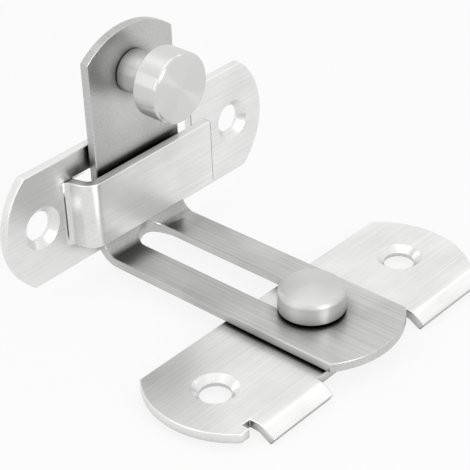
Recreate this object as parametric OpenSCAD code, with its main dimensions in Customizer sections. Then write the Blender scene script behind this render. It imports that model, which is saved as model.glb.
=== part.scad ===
// Right angle door latch of stamped stainless sheet: a base plate with a sliding stud, a slotted
// right angle arm with a pull knob, and a wall keeper whose lanced strap hooks round the arm's leg.
// Origin: centre of the two base screws, on the base plate's underside, under the stud's axis.
// +X leads away from the wall along the arm, +Y along both plates, +Z away from the door.

/* [Sheet] */
// Thickness of the steel sheet of all three stampings
sheet = 1.8; // [1.5:0.1:2.2]
// Free gap between the base plate and the arm that slides over it
arm_gap = 0.4; // [0.3:0.1:0.8]
// Free gap between the arm and the underside of the stud's head
head_gap = 0.4; // [0.3:0.1:0.8]

/* [Plates] */
// Length of the base plate between the corners where its arc ends start
base_l = 62.4; // [58:0.2:70]
// Length of the keeper plate between the corners where its arc ends start
keeper_l = 56; // [55:0.2:70]
// Width of the base plate
base_w = 22.6; // [20:0.2:28]
// Width of the keeper plate
keeper_w = 22.6; // [20:0.2:28]
// How far an arc end of the base plate stands out past its corners
base_rise = 4.5; // [3:0.1:7]
// How far an arc end of the keeper plate stands out past its corners
keeper_rise = 5.3; // [3:0.1:7]
// Distance between the two screw holes of a plate
screw_pitch = 50; // [46:1:54]
// Diameter of a screw hole
screw_d = 5.6; // [4.5:0.1:6]
// Diameter of a countersink at the face of the plate
sink_d = 8.2; // [7.4:0.2:9]
// Depth of a countersink
sink_depth = 1.1; // [0.6:0.1:1.3]

/* [Lips] */
// Length of a turned-down lip, measured along the slope
lip_run = 2.4; // [1.5:0.1:4]
// Slope of a lip below the face of the plate, in degrees
lip_angle = 30; // [15:1:40]
// Inside radius of the bend that joins a lip to the plate
lip_bend_r = 1.2; // [0.8:0.1:2]
// Distance from the middle of the plate to the start of a lip
lip_from = 12.4; // [12:0.1:15]
// Distance from the middle of the plate to the relief notch at the near lip's outer end
lip_to = 27.4; // [24:0.1:28]
// Width of the relief notch beside a lip
notch_w = 1.8; // [1.2:0.1:2.4]
// Depth of the relief notch into the plate
notch_depth = 1.6; // [1:0.1:2.4]

/* [Arm] */
// Width of the arm
arm_w = 21; // [18:0.5:23]
// Distance from the stud's axis to the corners at the arm's tip
arm_tip = 12.4; // [10:0.2:16]
// How far an arc end of the arm stands out past its corners
arm_rise = 3.9; // [2:0.1:6]
// Inside radius of the right angle bend
bend_r = 3; // [2:0.1:4]
// Height of the leg's corners above the base plate's underside
leg_h = 42.2; // [38:0.2:60]
// Width of the slot
slot_w = 7.3; // [6:0.1:9]
// Distance from the leg's front face to the slot's inner end
slot_lead = 0.2; // [0.1:0.1:2]

/* [Stud] */
// Free gap at each side of the stud's shank in the slot
shank_gap = 0.25; // [0.1:0.05:0.5]
// Diameter of the stud's head
head_d = 12; // [11:0.2:16]
// Height of the straight side of the stud's head
head_side = 3; // [2:0.1:4]
// Rise of the head's soft dome
head_dome = 0.9; // [0.4:0.1:1.5]
// Diameter of the stud's pivot in the base plate
pivot_d = 5; // [4:0.1:6]
// Running gap of the pivot in its hole, on the radius
pivot_gap = 0.05; // [0.02:0.01:0.1]
// Spread and depth of the pivot's riveted foot in the underside of the base plate
foot = 0.7; // [0.4:0.1:1]
// Gap between the stud's shoulder and the base plate
shoulder_gap = 0.1; // [0.05:0.05:0.2]
// Width of the rounded rim between the head's side and its dome
dome_rim = 0.5; // [0.3:0.1:1]

/* [Knob] */
// Diameter of the pull knob's head
knob_d = 13; // [11:0.2:17]
// Length of the pull knob's head
knob_l = 5.8; // [4:0.2:9]
// Diameter of the knob's neck
neck_d = 8; // [5:0.2:9]
// Length of the knob's neck
neck_l = 6.2; // [3:0.2:9]
// Distance from the leg's corners down to the knob's axis
knob_drop = 4.8; // [2:0.2:7]
// Chamfer at the rims of the knob's head
knob_edge = 0.4; // [0.2:0.1:1]
// Diameter of the riveted tenon in the leg
tenon_d = 4; // [3:0.1:4.5]

/* [Keeper] */
// Distance from the stud's axis to the back of the keeper when the arm is drawn out
reach = 44.6; // [42:0.2:60]
// Height of the keeper's lower edge above the base plate's underside
keeper_z = 3.2; // [2.2:0.1:5]
// Offset of the keeper's middle from the middle of the arm
keeper_shift = 2.8; // [0:0.1:4]
// Height of the strap
strap_w = 13; // [9:0.2:15]
// Free gap behind the leg
gap_behind = 0.6; // [0.3:0.1:1]
// Free gap in front of the leg
gap_front = 1; // [0.4:0.1:2]
// Distance from the arm's middle to the strap's free end
strap_end = 16.4; // [12:0.2:18]
// Distance from the arm's middle to the start of the strap's flat part, on the closed side
strap_start = 12.2; // [12:0.1:13]
// Turn of the two bends at the strap's root, in degrees
root_turn = 75; // [60:1:85]
// Inside radius of the two bends at the strap's root
root_r = 1.4; // [1:0.1:1.6]

/* [Hidden] */
$fn = 96;
steel = [0.8, 0.8, 0.79];
// Overlap of a cut past the face it opens
past = 1;
// Overlap of two shapes that join in one sheet
seam = 0.01;
// Heights of the arm's underside and top, and of the stud's head
arm_z = sheet + arm_gap;
arm_top = arm_z + sheet;
head_z = arm_top + head_gap;
// The leg's back, its front and the strap's inner face, along X
leg_back = -reach + sheet + gap_behind;
leg_front = leg_back + sheet;
// Height of the knob's axis above the base plate's underside
knob_z = leg_h - knob_drop;
strap_in = leg_front + gap_front;
// The centres of the slot's round ends: the stud rests in the outer one, and the inner lies in the bend
slot_r = slot_w / 2;
shank_d = slot_w - 2 * shank_gap;
slot_out = shank_gap;
slot_in = leg_front + slot_r + slot_lead;
// The bend's centre line radius and the rise of the strap from the plate's middle plane
root_mid = root_r + sheet / 2;
strap_rise = strap_in - (-reach);
root_straight = (strap_rise - 2 * root_mid * (1 - cos(root_turn))) / sin(root_turn);
root_len = 2 * root_mid * sin(root_turn) + root_straight * cos(root_turn);
root_y = -strap_start - root_len;
keeper_mid_z = keeper_z + keeper_w / 2;

// Radius of an arc that rises by rise over a chord of length chord
function arc_r(chord, rise) = (chord * chord / 4 + rise * rise) / (2 * rise);

// Outline of a plate along Y with two arc ends, its middle at the origin
module plate_outline(w, l, rise) {
    r = arc_r(w, rise);
    square([w, l], center = true);
    for (side = [-1, 1])
        intersection() {
            translate([0, side * (l / 2 + rise - r)])
                circle(r);
            translate([0, side * (l / 2 + rise / 2)])
                square([w, rise + 2 * seam], center = true);
        }
}

// Countersunk screw hole along Z, opened from the top face at z = sheet
module screw_hole() {
    translate([0, 0, -past])
        cylinder(d = screw_d, h = sheet + 2 * past);
    translate([0, 0, sheet - sink_depth])
        cylinder(d1 = screw_d, d2 = sink_d, h = sink_depth);
    translate([0, 0, sheet - 0.001])
        cylinder(d = sink_d, h = past);
}

// Part of a ring between two angles: the section of a bend in sheet
module bend_section(r_in, thick, from, to) {
    r_out = r_in + thick;
    far = 3 * r_out;
    mid = (from + to) / 2;
    intersection() {
        difference() {
            circle(r_out);
            circle(r_in);
        }
        polygon([[0, 0], far * [cos(from), sin(from)], far * [cos(mid), sin(mid)], far * [cos(to), sin(to)]]);
    }
}

// Section of one lip in the X-Z plane, sloping down from the plate's outer edge
module lip_section() {
    // A strip of the plate's own edge carries the lip
    translate([base_w / 2 - notch_depth / 2, 0])
        square([notch_depth / 2 + seam, sheet]);
    centre_z = -lip_bend_r;
    // The bend rolls over the outer edge about a point below the underside
    translate([base_w / 2, centre_z])
        bend_section(lip_bend_r, sheet, 90 - lip_angle, 90);
    translate([base_w / 2, centre_z])
        rotate(-lip_angle)
            translate([-seam, lip_bend_r])
                square([lip_run + seam, sheet]);
}

// A lip from one place along Y to another
module lip(from, to) {
    translate([0, to, 0])
        rotate([90, 0, 0])
            linear_extrude(to - from)
                lip_section();
}

module base_plate() color(steel) {
    difference() {
        union() {
            difference() {
                linear_extrude(sheet)
                    plate_outline(base_w, base_l, base_rise);
                // Relief notches at the ends of the lips
                for (y = [-lip_to - notch_w, -lip_from, lip_from - notch_w])
                    translate([base_w / 2 - notch_depth, y, -past])
                        cube([notch_depth + past, notch_w, sheet + 2 * past]);
            }
            lip(-lip_to, -lip_from);
            lip(lip_from, base_l / 2);
        }
        for (side = [-1, 1])
            translate([0, side * screw_pitch / 2, 0])
                screw_hole();
        translate([0, 0, -past])
            cylinder(r = pivot_d / 2 + pivot_gap, h = sheet + 2 * past);
        // Seat of the stud's riveted foot
        translate([0, 0, -past])
            cylinder(r = pivot_d / 2 + foot + pivot_gap, h = past);
        cylinder(r1 = pivot_d / 2 + foot + pivot_gap, r2 = pivot_d / 2 + pivot_gap, h = foot);
    }
}

// The turned stud: riveted foot, pivot, shank through the slot and domed head, as one profile
module slide_stud() color(steel) {
    dome_r = arc_r(head_d - 2 * dome_rim, head_dome);
    dome_z = head_z + head_side;
    rotate_extrude() {
        polygon([
            [0, 0], [pivot_d / 2 + foot, 0], [pivot_d / 2, foot], [pivot_d / 2, sheet + shoulder_gap],
            [shank_d / 2, sheet + shoulder_gap], [shank_d / 2, head_z], [head_d / 2, head_z],
            [head_d / 2, dome_z - dome_rim], [head_d / 2 - dome_rim, dome_z], [0, dome_z]
        ]);
        intersection() {
            translate([0, dome_z + head_dome - dome_r])
                circle(dome_r);
            translate([0, dome_z - past / 2])
                square([head_d / 2 - dome_rim, head_dome + past]);
        }
    }
}

// Section of the arm in the X-Z plane: tip part, bend and leg
module arm_section() {
    bend_x = leg_front + bend_r;
    bend_z = arm_top + bend_r;
    translate([bend_x, arm_z])
        square([arm_tip + arm_rise - bend_x, sheet]);
    translate([bend_x, bend_z])
        bend_section(bend_r, sheet, 180, 270);
    translate([leg_back, bend_z])
        square([sheet, leg_h + arm_rise - bend_z]);
}

module latch_arm() color(steel) {
    tip_r = arc_r(arm_w, arm_rise);
    difference() {
        intersection() {
            translate([0, arm_w / 2, 0])
                rotate([90, 0, 0])
                    linear_extrude(arm_w)
                        arm_section();
            // The arc at the tip, seen from above
            translate([0, 0, -past])
                linear_extrude(leg_h + 3 * arm_rise)
                    union() {
                        translate([-2 * reach, -arm_w])
                            square([2 * reach + arm_tip, 2 * arm_w]);
                        intersection() {
                            translate([arm_tip + arm_rise - tip_r, 0])
                                circle(tip_r);
                            translate([0, -arm_w])
                                square([arm_tip + arm_rise, 2 * arm_w]);
                        }
                    }
            // The arc at the top of the leg, seen along the arm
            translate([-2 * reach, 0, 0])
                rotate([90, 0, 90])
                    linear_extrude(4 * reach)
                        union() {
                            translate([-arm_w, -past])
                                square([2 * arm_w, leg_h + past]);
                            intersection() {
                                translate([0, leg_h + arm_rise - tip_r])
                                    circle(tip_r);
                                translate([-arm_w, 0])
                                    square([2 * arm_w, leg_h + arm_rise]);
                            }
                        }
        }
        // The slot runs up into the bend
        translate([0, 0, -past]) {
            for (x = [slot_in, slot_out])
                translate([x, 0, 0])
                    cylinder(r = slot_r, h = arm_top + bend_r + past);
            translate([slot_in, -slot_r, 0])
                cube([slot_out - slot_in, slot_w, arm_top + bend_r + past]);
        }
        // Hole for the knob's tenon
        translate([leg_back - past, 0, knob_z])
            rotate([0, 90, 0])
                cylinder(d = tenon_d, h = sheet + 2 * past);
    }
}

// The turned pull knob: tenon, neck and head, as one profile about the knob's axis
module pull_knob() color(steel) {
    r = knob_d / 2;
    e = knob_edge;
    z1 = sheet + neck_l;
    z2 = z1 + knob_l;
    translate([leg_back, 0, knob_z])
        rotate([0, 90, 0])
            rotate_extrude()
                polygon([
                    [0, 0], [tenon_d / 2, 0], [tenon_d / 2, sheet], [neck_d / 2, sheet],
                    [neck_d / 2, z1], [r - e, z1], [r, z1 + e], [r, z2 - e], [r - e, z2], [0, z2]
                ]);
}

// Section of the strap in the X-Y plane: an S bend out of the plate, then a flat run to the free end
module strap_section() {
    x0 = -reach;
    c1 = [x0 + sheet + root_r, root_y];
    // The first bend turns away from the wall
    translate(c1)
        bend_section(root_r, sheet, 180 - root_turn, 180);
    // Straight part of the step
    translate(c1)
        rotate(-root_turn)
            translate([-root_r - sheet, 0])
                square([sheet, root_straight]);
    // The second bend turns back along the wall
    c2 = [x0 + strap_rise - root_r, -strap_start];
    translate(c2)
        bend_section(root_r, sheet, -root_turn, 0);
    translate([strap_in, -strap_start])
        square([sheet, strap_end + strap_start]);
}

module keeper_plate() color(steel) {
    difference() {
        translate([-reach, keeper_shift, keeper_mid_z])
            rotate([0, 90, 0])
                difference() {
                    linear_extrude(sheet)
                        plate_outline(keeper_w, keeper_l, keeper_rise);
                    for (side = [-1, 1])
                        translate([0, side * screw_pitch / 2, 0])
                            screw_hole();
                }
        // The window that the strap was cut from
        translate([-reach - past, root_y, keeper_mid_z - strap_w / 2])
            cube([sheet + 2 * past, strap_end - root_y, strap_w]);
    }
    translate([0, 0, keeper_mid_z - strap_w / 2])
        linear_extrude(strap_w)
            strap_section();
}

base_plate();
slide_stud();
latch_arm();
pull_knob();
keeper_plate();
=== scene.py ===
"""Right angle door latch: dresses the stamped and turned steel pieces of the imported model."""
import math

import bmesh
import bpy
import numpy as np
from mathutils import Matrix, Vector


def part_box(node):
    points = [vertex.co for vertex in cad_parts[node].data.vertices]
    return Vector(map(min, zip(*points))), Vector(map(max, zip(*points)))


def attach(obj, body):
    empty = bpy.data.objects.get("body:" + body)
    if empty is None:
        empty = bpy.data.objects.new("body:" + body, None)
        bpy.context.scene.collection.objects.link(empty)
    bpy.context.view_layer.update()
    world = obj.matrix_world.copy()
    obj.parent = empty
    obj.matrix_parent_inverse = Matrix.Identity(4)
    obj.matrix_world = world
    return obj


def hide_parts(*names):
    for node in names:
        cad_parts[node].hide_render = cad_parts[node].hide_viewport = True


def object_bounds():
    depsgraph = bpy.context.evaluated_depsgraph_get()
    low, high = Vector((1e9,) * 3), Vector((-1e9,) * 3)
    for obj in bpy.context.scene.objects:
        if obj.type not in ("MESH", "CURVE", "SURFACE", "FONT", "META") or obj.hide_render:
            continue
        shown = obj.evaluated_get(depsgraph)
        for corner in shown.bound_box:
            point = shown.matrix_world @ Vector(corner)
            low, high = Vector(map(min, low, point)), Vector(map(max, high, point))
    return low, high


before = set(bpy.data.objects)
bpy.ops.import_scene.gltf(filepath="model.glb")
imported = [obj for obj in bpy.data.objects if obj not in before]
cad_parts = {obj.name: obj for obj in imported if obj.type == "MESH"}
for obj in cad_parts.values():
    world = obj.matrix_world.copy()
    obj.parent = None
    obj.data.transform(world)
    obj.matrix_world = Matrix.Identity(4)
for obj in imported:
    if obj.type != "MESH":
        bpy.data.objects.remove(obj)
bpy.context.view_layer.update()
MM = 0.001

# Pieces: node, body, record slot and the width of its rounded edges in mm
PIECES = {
    "base_plate": ("base", "brushed_steel", 0.22),
    "latch_arm": ("arm", "brushed_steel", 0.22),
    "keeper_plate": ("keeper", "brushed_steel", 0.22),
    "slide_stud": ("stud", "turned_steel", 0.30),
    "pull_knob": ("arm", "turned_steel", 0.25),
}

# The photograph's camera: frame and focal length in pixels, angles in degrees, aim and distance
PHOTO_SIDE_PX = 470
PHOTO_FOCAL_PX = 1633.2
CAMERA_AZIMUTH = 43.04
CAMERA_ELEVATION = 32.67
CAMERA_ROLL = -2.46
CAMERA_AIM_MM = (-23.06, 6.07, 6.74)
CAMERA_DISTANCE_MM = 297.4
NEAREST_SEEN_MM = 10.0
SENSOR_MM = 36.0

# Colours of the sheet between its brushed lines and on them, and of the turned faces
PLATE_TONES = ("#DEDEDD", "#F0F0EF")
# The arm is the plates' steel; its darker colours are painted shade
ARM_SHADED_TONES = ("#B0B0AF", "#D0D0CF")
KNOB_TONE = "#D8D8D7"
STUD_TONE = "#CECECD"

# Belt brushing leaves hair lines about 0.1 mm wide and 20 mm long, drawn wider so that they show
HAIR_WIDTH_MM = 0.35
HAIR_LENGTH_MM = 20.0
HAIR_DEPTH_MM = 0.05
HAIR_BUMP = 0.12

# Rolled sheet is a little uneven over this length, seen as slow light and dark clouds
CLOUD_MM = 12.0

# Sums of hair line and cloud at which the sheet has its darker and its lighter colour
TONE_RANGE = (0.7, 1.3)
SHEET_ROUGHNESS = (0.26, 0.36)

# The turning tool's feed leaves rings about 0.06 mm apart, drawn wider so that they show
RING_MM = 0.25
RING_DEPTH_MM = 0.02
RING_BUMP = 0.03
RING_ROUGHNESS = 0.05

# Turned faces: roughness between the rings, and how far the rings draw out a highlight
KNOB_ROUGHNESS = 0.22
KNOB_GRAIN = 0.97
STUD_ROUGHNESS = 0.46
STUD_GRAIN = 0.4

# Part of a turn that lays the drawn-out highlight across the rings
ACROSS_RINGS = 0.25

# Shade painted into the colour in gaps: its reach, how open a place is where it is darkest and where
# it ends, and the share of the colour left at its darkest
GAP_SHADE_REACH_MM = 4.0
GAP_SHADE_OPENNESS = (0.25, 0.85)
GAP_SHADE_DARK = 0.12

# Centre and half size in mm of the painted shadow line at the strap's free end, and of the painted
# shade line at the crease beside its root
KEEPER_SHADE_LINES = (
    ((-38.0, 16.45, 14.5), (1.2, 0.32, 7.0)),
    ((-42.8, -16.6, 14.2), (0.3, 0.14, 4.8)),
)

# Shares of the half size between which a painted shade line fades out, and the colour left inside it
SHADE_LINE_FADE = (0.8, 1.1)
SHADE_LINE_DARK = 0.12

# The stud's head stands a little taller in the photograph than in the model, with a rounder dome:
# radius past which a point is on its side, depth under the rim that rises with it, and the changes
HEAD_SIDE_MM = 5.9
HEAD_TOP_MM = 1.0
HEAD_LIFT_MM = 1.0
DOME_STRETCH = 1.15

# The base plate's relief notches, as in the model: where the lips start, width and bottom
LIP_FROM_MM = 12.4
NOTCH_WIDTH_MM = 1.8
NOTCH_BOTTOM_MM = 9.7
NOTCH_REACH_MM = 0.05

# Points this close are merged, in a CAD mesh as it comes and after its points have moved
SEAM_MM = 0.001
MOVED_SEAM_MM = 0.01

# Facets this flat to each other are joined, and edges this sharp are rounded, in a few steps
FLAT_DEGREES = 0.5
SHARP_DEGREES = 28.0
EDGE_STEPS = 3

# Screw holes of a plate: the two axes of its plane, and each hole's place along them in mm
SCREW_HOLES = {
    "base_plate": ((0, 1), ((0, -25), (0, 25))),
    "keeper_plate": ((1, 2), ((-22.2, 14.5), (27.8, 14.5))),
}
NO_HOLES = ((0, 1), ())

# Radius round a screw hole within which edges stay crisp
CRISP_MM = 5.0

# Strength of the white surroundings as light on the object, where 1 is white
FILL = 0.6

# Floor: colour of its paper, share of pure white in what is seen of it, half side, and gap under
# the lowest piece
FLOOR_PAPER = "#F6F6F6"
FLOOR_WHITE = 0.86
FLOOR_HALF_MM = 1500.0
FLOOR_GAP_MM = 0.02

# Soft lamps: place, aim and size in mm, and power in watts
LAMPS = {
    "top_softbox": ((-60, -40, 420), (-15, 0, 10), (420, 420), 0.25),
    "front_softbox": ((330, -60, 160), (-20, 0, 15), (120, 140), 0.35),
    "lip_softbox": ((70, 250, 310), (10, 0, 2), (110, 110), 0.03),
    "left_softbox": ((-120, -420, 200), (-20, 0, 15), (260, 260), 0.2),
}


def srgb(code):
    """Linear colour of an sRGB hex value, with alpha 1."""
    parts = [int(code[i : i + 2], 16) / 255 for i in (1, 3, 5)]
    linear = [c / 12.92 if c <= 0.04045 else ((c + 0.055) / 1.055) ** 2.4 for c in parts]
    return (*linear, 1.0)


def add(tree, kind, inputs=None, **settings):
    """Adds one shader node. inputs maps a socket's name or number to a value or a linked socket."""
    node = tree.nodes.new(kind)
    for name, value in settings.items():
        setattr(node, name, value)
    for key, value in (inputs or {}).items():
        if isinstance(value, bpy.types.NodeSocket):
            tree.links.new(value, node.inputs[key])
        else:
            node.inputs[key].default_value = value
    return node


def new_material(name):
    """A material with an empty node tree."""
    mat = bpy.data.materials.new(name)
    mat.use_nodes = True
    mat.node_tree.nodes.clear()
    return mat, mat.node_tree


def object_point(tree):
    """Place on the piece in mm, from Object coordinates."""
    coords = add(tree, "ShaderNodeTexCoord")
    scaled = add(
        tree,
        "ShaderNodeVectorMath",
        {0: coords.outputs["Object"], "Scale": 1 / MM},
        operation="SCALE",
    )
    return scaled.outputs["Vector"]


def painted_gap_shade(tree, colour):
    """Darkens a colour where two surfaces nearly touch: shade painted into the gaps."""
    near = add(
        tree, "ShaderNodeAmbientOcclusion", {"Distance": GAP_SHADE_REACH_MM * MM}, samples=8
    )
    darkest, end = GAP_SHADE_OPENNESS
    share = add(
        tree,
        "ShaderNodeMapRange",
        {"Value": near.outputs["AO"], "From Min": darkest, "From Max": end, "To Min": GAP_SHADE_DARK},
    )
    shaded_tone = add(
        tree,
        "ShaderNodeVectorMath",
        {0: colour, "Scale": share.outputs["Result"]},
        operation="SCALE",
    )
    return shaded_tone.outputs["Vector"]


def painted_shade_lines(tree, point, colour, boxes):
    """Darkens a colour inside boxes of (centre, half size) in mm: painted shadow and shade lines."""
    start, end = SHADE_LINE_FADE
    for centre, half in boxes:
        offset = add(tree, "ShaderNodeVectorMath", {0: point, 1: centre}, operation="SUBTRACT")
        span = add(
            tree, "ShaderNodeVectorMath", {0: offset.outputs["Vector"]}, operation="ABSOLUTE"
        )
        share = add(
            tree, "ShaderNodeVectorMath", {0: span.outputs["Vector"], 1: half}, operation="DIVIDE"
        )
        parts = add(tree, "ShaderNodeSeparateXYZ", {0: share.outputs["Vector"]})
        flat = add(
            tree,
            "ShaderNodeMath",
            {0: parts.outputs["X"], 1: parts.outputs["Y"]},
            operation="MAXIMUM",
        )
        far = add(
            tree, "ShaderNodeMath", {0: flat.outputs[0], 1: parts.outputs["Z"]}, operation="MAXIMUM"
        )
        kept = add(
            tree,
            "ShaderNodeMapRange",
            {"Value": far.outputs[0], "From Min": start, "From Max": end, "To Min": SHADE_LINE_DARK},
        )
        shaded = add(
            tree,
            "ShaderNodeVectorMath",
            {0: colour, "Scale": kept.outputs["Result"]},
            operation="SCALE",
        )
        colour = shaded.outputs["Vector"]
    return colour


def brushed_stainless(name, along, tones, shade_lines=()):
    """Stainless sheet, belt-brushed along one axis: fine lines, slow clouds and a soft gloss."""
    mat, tree = new_material(name)
    point = object_point(tree)
    stretch = [1 / HAIR_WIDTH_MM] * 3
    stretch["XYZ".index(along)] = 1 / HAIR_LENGTH_MM
    lines_at = add(tree, "ShaderNodeMapping", {"Vector": point, "Scale": stretch})
    hair = add(
        tree,
        "ShaderNodeTexNoise",
        {"Vector": lines_at.outputs[0], "Scale": 1.0, "Detail": 4.0, "Roughness": 0.6},
    )
    cloud = add(
        tree, "ShaderNodeTexNoise", {"Vector": point, "Scale": 1 / CLOUD_MM, "Detail": 2.0}
    )
    mixed = add(
        tree, "ShaderNodeMath", {0: hair.outputs["Fac"], 1: cloud.outputs["Fac"]}, operation="ADD"
    )
    darkest, lightest = TONE_RANGE
    spread = add(
        tree,
        "ShaderNodeMapRange",
        {"Value": mixed.outputs[0], "From Min": darkest, "From Max": lightest},
    )
    tone = add(
        tree,
        "ShaderNodeMix",
        {0: spread.outputs["Result"], 6: srgb(tones[0]), 7: srgb(tones[1])},
        data_type="RGBA",
    )
    # The colour carries shade painted into gaps and painted shade lines
    shaded_tone = painted_shade_lines(tree, point, painted_gap_shade(tree, tone.outputs[2]), shade_lines)
    glossy, dull = SHEET_ROUGHNESS
    rough = add(
        tree,
        "ShaderNodeMapRange",
        {"Value": cloud.outputs["Fac"], "To Min": glossy, "To Max": dull},
    )
    bump = add(
        tree,
        "ShaderNodeBump",
        {"Height": hair.outputs["Fac"], "Strength": HAIR_BUMP, "Distance": HAIR_DEPTH_MM * MM},
    )
    shader = add(
        tree,
        "ShaderNodeBsdfPrincipled",
        {
            "Base Color": shaded_tone,
            "Metallic": 1.0,
            "Roughness": rough.outputs["Result"],
            "Normal": bump.outputs["Normal"],
        },
    )
    add(tree, "ShaderNodeOutputMaterial", {"Surface": shader.outputs[0]})
    return mat


def turned_stainless(name, axis, centre_mm, tone, roughness, grain):
    """Lathe-turned stainless: rings about the axis, which fan light into cones on a flat face."""
    mat, tree = new_material(name)
    point = object_point(tree)
    spoke = add(
        tree, "ShaderNodeVectorMath", {0: point, 1: tuple(centre_mm)}, operation="SUBTRACT"
    )
    tangent = add(
        tree,
        "ShaderNodeVectorMath",
        {0: axis, 1: spoke.outputs["Vector"]},
        operation="CROSS_PRODUCT",
    )
    turned = add(
        tree,
        "ShaderNodeVectorTransform",
        {"Vector": tangent.outputs["Vector"]},
        vector_type="VECTOR",
        convert_from="OBJECT",
        convert_to="WORLD",
    )
    flat_spoke = add(
        tree,
        "ShaderNodeVectorMath",
        {0: spoke.outputs["Vector"], 1: tuple(1.0 - abs(part) for part in axis)},
        operation="MULTIPLY",
    )
    radius = add(
        tree, "ShaderNodeVectorMath", {0: flat_spoke.outputs["Vector"]}, operation="LENGTH"
    )
    rings = add(
        tree,
        "ShaderNodeTexNoise",
        {"W": radius.outputs["Value"], "Scale": 1 / RING_MM, "Detail": 2.0},
        noise_dimensions="1D",
    )
    rough = add(
        tree,
        "ShaderNodeMapRange",
        {
            "Value": rings.outputs["Fac"],
            "To Min": roughness,
            "To Max": roughness + RING_ROUGHNESS,
        },
    )
    bump = add(
        tree,
        "ShaderNodeBump",
        {"Height": rings.outputs["Fac"], "Strength": RING_BUMP, "Distance": RING_DEPTH_MM * MM},
    )
    shader = add(
        tree,
        "ShaderNodeBsdfPrincipled",
        {
            # Base colour with shade painted into gaps
            "Base Color": painted_gap_shade(tree, srgb(tone)[:3]),
            "Metallic": 1.0,
            "Roughness": rough.outputs["Result"],
            "Anisotropic": grain,
            "Anisotropic Rotation": ACROSS_RINGS,
            "Tangent": turned.outputs["Vector"],
            "Normal": bump.outputs["Normal"],
        },
    )
    add(tree, "ShaderNodeOutputMaterial", {"Surface": shader.outputs[0]})
    return mat


def opened(mesh, seam_mm):
    """A mesh opened for editing, with points no farther apart than a seam merged."""
    shell = bmesh.new()
    shell.from_mesh(mesh)
    bmesh.ops.remove_doubles(shell, verts=shell.verts, dist=seam_mm * MM)
    return shell


def closed(shell, mesh):
    """Puts an opened shell back into its mesh."""
    shell.to_mesh(mesh)
    shell.free()


def mark_edges(shell, node):
    """Marks the sharp edges that the bevel rounds, apart from those of the screw holes."""
    weight = shell.edges.layers.float.new("bevel_weight_edge")
    (first, second), holes = SCREW_HOLES.get(node, NO_HOLES)
    for edge in shell.edges:
        if len(edge.link_faces) != 2 or edge.calc_face_angle() < math.radians(SHARP_DEGREES):
            continue
        middle = (edge.verts[0].co + edge.verts[1].co) / 2 / MM
        spans = [math.hypot(middle[first] - u, middle[second] - v) for u, v in holes]
        if min(spans, default=CRISP_MM) >= CRISP_MM:
            edge[weight] = 1.0
        else:
            edge.smooth = False


def merged_copy(node):
    """A CAD node's mesh with its triangles merged, flat faces joined and sharp edges marked."""
    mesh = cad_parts[node].data.copy()
    mesh.name = node + "_finished"
    shell = opened(mesh, SEAM_MM)
    bmesh.ops.dissolve_limit(
        shell, angle_limit=math.radians(FLAT_DEGREES), verts=shell.verts, edges=shell.edges
    )
    mark_edges(shell, node)
    closed(shell, mesh)
    return mesh


def raise_head(points):
    """Lifts the top of the stud's head and rounds its dome.

    With h as a point's height over the rim of the straight side, all points near or above the rim
    rise by the lift, and those above it also by h times the stretch less one.
    """
    height = points[:, 2]
    radius = np.hypot(points[:, 0], points[:, 1])
    over_rim = height - height[radius > HEAD_SIDE_MM].max()
    top = over_rim > -HEAD_TOP_MM
    height[top] += HEAD_LIFT_MM + np.maximum(over_rim[top], 0) * (DOME_STRETCH - 1)


def close_notch(points):
    """Closes the near lip's inner relief, which the photograph doesn't show.

    The points of the notch's inner wall, a notch's width from the lip, move along Y to the lip.
    """
    wall_y = NOTCH_WIDTH_MM - LIP_FROM_MM
    wall = np.abs(points[:, 1] - wall_y) < NOTCH_REACH_MM
    wall &= points[:, 0] > NOTCH_BOTTOM_MM - NOTCH_REACH_MM
    points[wall, 1] = -LIP_FROM_MM


def reshape(mesh, rule):
    """Moves the points of a mesh by a rule on the array of their places in mm."""
    places = np.empty(3 * len(mesh.vertices), dtype=np.float32)
    mesh.vertices.foreach_get("co", places)
    points = places.reshape(-1, 3).astype(float) / MM
    rule(points)
    mesh.vertices.foreach_set("co", (points * MM).astype(np.float32).ravel())
    closed(opened(mesh, MOVED_SEAM_MM), mesh)


RESHAPED = {"slide_stud": raise_head, "base_plate": close_notch}


def rounded_copy(node, body, edge_mm, mat):
    """Stands a finished copy in for a CAD node, with its stamped or turned edges rounded."""
    mesh = merged_copy(node)
    if node in RESHAPED:
        reshape(mesh, RESHAPED[node])
    mesh.materials.clear()
    mesh.materials.append(mat)
    mesh.shade_smooth()
    piece = bpy.data.objects.new(mesh.name, mesh)
    bpy.context.scene.collection.objects.link(piece)
    bevel = piece.modifiers.new("rounded_edges", "BEVEL")
    bevel.width = edge_mm * MM
    bevel.segments = EDGE_STEPS
    bevel.limit_method = "WEIGHT"
    bevel.use_clamp_overlap = False
    bevel.loop_slide = False
    weighted = piece.modifiers.new("flat_faces", "WEIGHTED_NORMAL")
    weighted.mode = "FACE_AREA"
    weighted.weight = 100
    weighted.keep_sharp = True
    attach(piece, body)
    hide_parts(node)


def make_pieces():
    """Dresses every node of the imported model."""
    knob_low, knob_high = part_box("pull_knob")
    knob_centre = [v / MM for v in (knob_low + knob_high) / 2]
    mats = {
        "base_plate": brushed_stainless("stainless_base_brushed_along_y", "Y", PLATE_TONES),
        "latch_arm": brushed_stainless("stainless_arm_brushed_along_x_shaded", "X", ARM_SHADED_TONES),
        # The keeper's sheet carries painted shade lines at the strap's end and root
        "keeper_plate": brushed_stainless(
            "stainless_keeper_brushed_along_y", "Y", PLATE_TONES, KEEPER_SHADE_LINES
        ),
        "slide_stud": turned_stainless(
            "stainless_stud_turned", (0, 0, 1), (0, 0, 0), STUD_TONE, STUD_ROUGHNESS, STUD_GRAIN
        ),
        "pull_knob": turned_stainless(
            "stainless_knob_turned", (1, 0, 0), knob_centre, KNOB_TONE, KNOB_ROUGHNESS, KNOB_GRAIN
        ),
    }
    for node, (body, slot, edge_mm) in PIECES.items():
        rounded_copy(node, body, edge_mm, mats[node])


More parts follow.
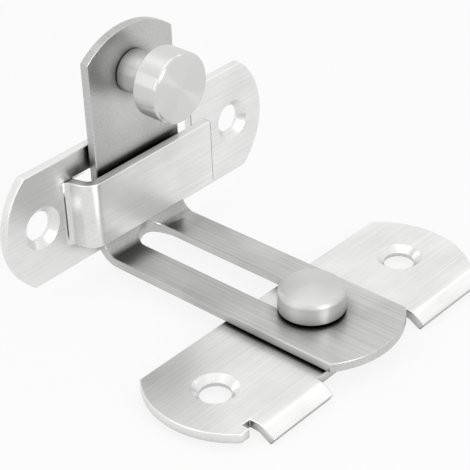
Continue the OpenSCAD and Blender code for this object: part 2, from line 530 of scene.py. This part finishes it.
def make_camera():
    """The photograph's viewpoint, from its azimuth from -Y towards +X, elevation and roll."""
    azimuth = math.radians(CAMERA_AZIMUTH)
    elevation = math.radians(CAMERA_ELEVATION)
    roll = math.radians(CAMERA_ROLL)
    flat = math.cos(elevation)
    back = Vector((math.sin(azimuth) * flat, -math.cos(azimuth) * flat, math.sin(elevation)))
    level = Vector((0, 0, 1)).cross(back).normalized()
    up = back.cross(level)
    right = math.cos(roll) * level + math.sin(roll) * up
    top = -math.sin(roll) * level + math.cos(roll) * up
    place = Vector(CAMERA_AIM_MM) * MM + back * CAMERA_DISTANCE_MM * MM
    data = bpy.data.cameras.new("photo_camera")
    data.sensor_width = SENSOR_MM
    data.lens = PHOTO_FOCAL_PX / PHOTO_SIDE_PX * SENSOR_MM
    data.clip_start = NEAREST_SEEN_MM * MM
    camera = bpy.data.objects.new("photo_camera", data)
    turn = Matrix((right, top, back)).transposed().to_4x4()
    camera.matrix_world = Matrix.Translation(place) @ turn
    bpy.context.scene.collection.objects.link(camera)
    bpy.context.scene.camera = camera


def soft_lamp(name, place_mm, aim_mm, size_mm, watts):
    """A rectangular softbox that faces a point."""
    data = bpy.data.lights.new(name, "AREA")
    data.shape = "RECTANGLE"
    data.size, data.size_y = (side * MM for side in size_mm)
    data.energy = watts
    lamp = bpy.data.objects.new(name, data)
    lamp.location = Vector(place_mm) * MM
    towards = Vector(aim_mm) * MM - lamp.location
    lamp.rotation_euler = towards.to_track_quat("-Z", "Y").to_euler()
    bpy.context.scene.collection.objects.link(lamp)


def seen_or_mirrored(tree):
    """1 for rays from the camera, from gloss and through glass, and 0 for rays that carry light."""
    path = add(tree, "ShaderNodeLightPath")
    seen = add(
        tree,
        "ShaderNodeMath",
        {0: path.outputs["Is Camera Ray"], 1: path.outputs["Is Transmission Ray"]},
        operation="MAXIMUM",
    )
    both = add(
        tree,
        "ShaderNodeMath",
        {0: seen.outputs[0], 1: path.outputs["Is Glossy Ray"]},
        operation="MAXIMUM",
    )
    return both.outputs[0]


def make_surroundings():
    """A world that is seen and mirrored as white, and lights the object less."""
    world = bpy.data.worlds.new("studio")
    bpy.context.scene.world = world
    world.use_nodes = True
    tree = world.node_tree
    tree.nodes.clear()
    level = add(tree, "ShaderNodeMath", {0: seen_or_mirrored(tree), 1: FILL}, operation="MAXIMUM")
    sky = add(
        tree, "ShaderNodeBackground", {"Color": srgb("#FFFFFF"), "Strength": level.outputs[0]}
    )
    add(tree, "ShaderNodeOutputWorld", {"Surface": sky.outputs[0]})


def white_paper():
    """Matt paper, blended with pure white where it is seen or mirrored, that keeps its shadow."""
    mat, tree = new_material("white_paper_sweep")
    matt = add(
        tree,
        "ShaderNodeBsdfPrincipled",
        {"Base Color": srgb(FLOOR_PAPER), "Roughness": 0.9, "Specular IOR Level": 0.1},
    )
    glow = add(tree, "ShaderNodeEmission", {"Color": srgb("#FFFFFF"), "Strength": 1.0})
    share = add(
        tree, "ShaderNodeMath", {0: seen_or_mirrored(tree), 1: FLOOR_WHITE}, operation="MULTIPLY"
    )
    sweep = add(
        tree, "ShaderNodeMixShader", {0: share.outputs[0], 1: matt.outputs[0], 2: glow.outputs[0]}
    )
    add(tree, "ShaderNodeOutputMaterial", {"Surface": sweep.outputs[0]})
    return mat


def make_floor():
    """A plain level square of white paper, just under the lowest piece."""
    half = FLOOR_HALF_MM * MM
    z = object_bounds()[0].z - FLOOR_GAP_MM * MM
    corners = [(-half, -half, z), (half, -half, z), (half, half, z), (-half, half, z)]
    mesh = bpy.data.meshes.new("floor")
    mesh.from_pydata(corners, [], [(0, 1, 2, 3)])
    mesh.materials.append(white_paper())
    floor = bpy.data.objects.new("floor", mesh)
    bpy.context.scene.collection.objects.link(floor)


make_camera()
make_pieces()
make_surroundings()
make_floor()
for lamp_name, lamp_facts in LAMPS.items():
    soft_lamp(lamp_name, *lamp_facts)
bpy.context.scene.view_settings.view_transform = "Standard"
